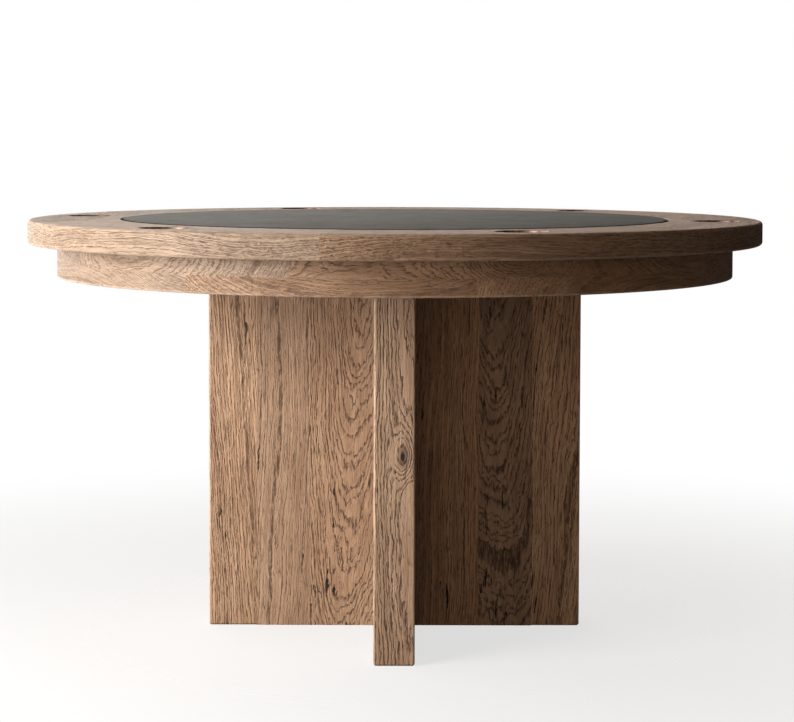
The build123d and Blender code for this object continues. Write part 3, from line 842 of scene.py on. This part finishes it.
def spotted_finish(name, spots, colour_step, colours, gloss_step, strength, depth, peel=None,
                   metallic=0.0):
    """Two close colours in soft spots, with the relief of the spots or of a finer peel."""
    material, tree, shader = new_material(name)
    place = piece_place(tree)
    spotted = noise(tree, place, *spots)
    relief = noise(tree, place, *peel) if peel else spotted
    colour = blend_colour(tree, ramp(tree, spotted, *colour_step), *colours)
    shader.inputs["Metallic"].default_value = metallic
    dress(tree, shader, colour, ramp(tree, spotted, *gloss_step), relief, strength, depth)
    return material


class FinishMetal(bpy.types.Operator):
    """Powder-coats the plate and zinc-plates the fastenings and glide stems"""

    bl_idname = "gaming_table.finish_metal"
    bl_label = "Metalwork"

    zinc_plated = ("plate_bolts", "plate_screws", "sub_top_screws", "threaded_inserts",
                   "glide_sleeves")

    def execute(self, context):
        coat = spotted_finish(
            "powder_coat", ((12.0, 12.0, 12.0), 4.0, 0.6), (0.4, 0.75),
            ((0.022, 0.022, 0.023, 1), (0.05, 0.048, 0.045, 1)), (0.3, 0.8, 0.45, 0.62),
            0.4, 0.0002, peel=((900.0, 900.0, 900.0), 2.0, 0.5))
        finish_with("mounting_plate", coat)
        zinc = spotted_finish(
            "zinc_plate", ((180.0, 180.0, 180.0), 3.0, 0.6), (0.35, 0.7),
            ((0.62, 0.62, 0.60, 1), (0.44, 0.44, 0.42, 1)), (0.3, 0.7, 0.28, 0.48),
            0.2, 0.0001, metallic=1.0)
        for name in self.zinc_plated:
            finish_with(name, zinc)
        for number in range(1, GLIDE_COUNT + 1):
            finish_with(f"glide_stem_{number}", zinc)
        return {"FINISHED"}


class FinishPads(bpy.types.Operator):
    """Gives the glide pads scuffed black nylon"""

    bl_idname = "gaming_table.finish_pads"
    bl_label = "Glide pads"

    def execute(self, context):
        nylon = spotted_finish(
            "black_nylon", ((90.0, 90.0, 30.0), 4.0, 0.65), (0.5, 0.75),
            ((0.025, 0.025, 0.026, 1), (0.075, 0.072, 0.068, 1)), (0.3, 0.8, 0.42, 0.65),
            0.3, 0.0003)
        for number in range(1, GLIDE_COUNT + 1):
            finish_with(f"glide_pad_{number}", nylon)
        return {"FINISHED"}


# ---------------------------------------------------------------- studio


def soft_light(name, place, target, side, power, colour):
    """A square soft light at a place, facing the target."""
    lamp = bpy.data.lights.new(name, "AREA")
    lamp.shape = "RECTANGLE"
    lamp.size, lamp.size_y = side, side
    lamp.energy = power
    lamp.color = colour
    thing = bpy.data.objects.new(name, lamp)
    thing.location = place
    thing.rotation_euler = (Vector(target) - Vector(place)).to_track_quat("-Z", "Y").to_euler()
    bpy.context.scene.collection.objects.link(thing)


def light_room(scene, settings):
    """A dim warm room with a bright wall behind and to the left, that is seen as plain white."""
    scene.world = bpy.data.worlds.new("studio")
    scene.world.use_nodes = True
    tree = scene.world.node_tree
    tree.nodes.clear()
    look = put(tree, "ShaderNodeTexCoord").outputs["Generated"]
    sides = put(tree, "ShaderNodeSeparateXYZ", {0: look}).outputs
    back = calc(tree, "MULTIPLY_ADD", sides["X"], -0.9, sides["Y"])
    wall = ramp(tree, back, 0.62, 1.18)
    glow = calc(tree, "MULTIPLY_ADD", wall, settings.backdrop, settings.room)
    room = put(tree, "ShaderNodeBackground", {"Color": (1.0, 0.93, 0.86, 1), "Strength": glow})
    sheet = put(tree, "ShaderNodeBackground", {"Color": (1, 1, 1, 1), "Strength": 1.0})
    seen = put(tree, "ShaderNodeLightPath").outputs["Is Camera Ray"]
    both = put(tree, "ShaderNodeMixShader", {0: seen, 1: room.outputs[0], 2: sheet.outputs[0]})
    put(tree, "ShaderNodeOutputWorld", {"Surface": both.outputs[0]})


def lay_floor(scene, radius):
    """A pale round floor that fades out towards its edge."""
    form = bmesh.new()
    bmesh.ops.create_circle(form, cap_ends=True, segments=96, radius=radius)
    mesh = bpy.data.meshes.new("floor")
    form.to_mesh(mesh)
    form.free()
    floor = bpy.data.objects.new("floor", mesh)
    scene.collection.objects.link(floor)
    material = bpy.data.materials.new("pale_floor")
    material.use_nodes = True
    tree = material.node_tree
    tree.nodes.clear()
    shown = ramp(tree, length_of(tree, own_place(tree)), 0.5, 2.1, 0.3, 0.0)
    paint = put(tree, "ShaderNodeBsdfDiffuse", {"Color": (0.8, 0.79, 0.77, 1)})
    clear = put(tree, "ShaderNodeBsdfTransparent")
    both = put(tree, "ShaderNodeMixShader", {0: shown, 1: clear.outputs[0], 2: paint.outputs[0]})
    put(tree, "ShaderNodeOutputMaterial", {"Surface": both.outputs[0]})
    mesh.materials.append(material)


class MakeStudio(bpy.types.Operator):
    """Sets up the pale floor, the soft lights and the camera"""

    bl_idname = "gaming_table.make_studio"
    bl_label = "Studio"

    focal_length, sensor_width = 95.92, 36.0
    shift = (0.0026, -0.1387)
    camera_place = (0, -4.002, 0.918)
    camera_tilt, camera_roll = 87.0, 0.14  # degrees

    def execute(self, context):
        scene, settings = context.scene, context.scene.studio_light
        soft_light("key_light", (-2.05, -1.45, 0.95), (0, 0, 0.45), 1.5, settings.key_power,
                   (1.0, 0.98, 0.96))
        soft_light("front_fill", (-0.75, -4.2, 1.1), (0, 0, 0.4), 1.8, settings.fill_power,
                   (1.0, 0.84, 0.70))
        light_room(scene, settings)
        lay_floor(scene, 2.4)

        scene.view_settings.view_transform = "Standard"
        lens = bpy.data.cameras.new("camera")
        lens.lens, lens.sensor_width = self.focal_length, self.sensor_width
        lens.shift_x, lens.shift_y = self.shift
        camera = bpy.data.objects.new("camera", lens)
        camera.location = self.camera_place
        turn = Matrix.Rotation(math.radians(self.camera_tilt), 3, "X")
        turn = turn @ Matrix.Rotation(math.radians(self.camera_roll), 3, "Z")
        camera.rotation_euler = turn.to_euler()
        scene.collection.objects.link(camera)
        scene.camera = camera
        return {"FINISHED"}


class TablePanel(bpy.types.Panel):
    """Lists the table's pieces and their settings"""

    bl_label = "Gaming table"
    bl_idname = "VIEW3D_PT_gaming_table"
    bl_space_type = "VIEW_3D"
    bl_region_type = "UI"
    bl_category = "Gaming table"

    def draw(self, context):
        layout = self.layout
        for operator in OPERATORS:
            layout.operator(operator.bl_idname)
        for key in SETTINGS:
            settings = getattr(context.scene, key)
            box = layout.box()
            for label in settings.__annotations__:
                box.prop(settings, label)


OPERATORS = (FinishRim, FinishApron, FinishPedestal, FinishPlywood, MakeLeather, MakeCups,
             FinishMetal, FinishPads, MakeStudio)
SETTINGS = {"oak_finish": OakFinish, "leather_finish": LeatherFinish, "cup_finish": CupFinish,
            "studio_light": StudioLight}
CLASSES = tuple(SETTINGS.values()) + OPERATORS + (TablePanel,)


def register():
    """Registers the classes and the scene's settings."""
    for part in CLASSES:
        bpy.utils.register_class(part)
    for key, group in SETTINGS.items():
        setattr(bpy.types.Scene, key, bpy.props.PointerProperty(type=group))


def unregister():
    """Takes the settings and classes away again."""
    for key in SETTINGS:
        delattr(bpy.types.Scene, key)
    for part in reversed(CLASSES):
        bpy.utils.unregister_class(part)


def main():
    """Makes every piece and finish in order."""
    register()
    bpy.ops.gaming_table.finish_rim()
    bpy.ops.gaming_table.finish_apron()
    bpy.ops.gaming_table.finish_pedestal()
    bpy.ops.gaming_table.finish_plywood()
    bpy.ops.gaming_table.make_leather()
    bpy.ops.gaming_table.make_cups()
    bpy.ops.gaming_table.finish_metal()
    bpy.ops.gaming_table.finish_pads()
    bpy.ops.gaming_table.make_studio()


if __name__ == "__main__":
    main()
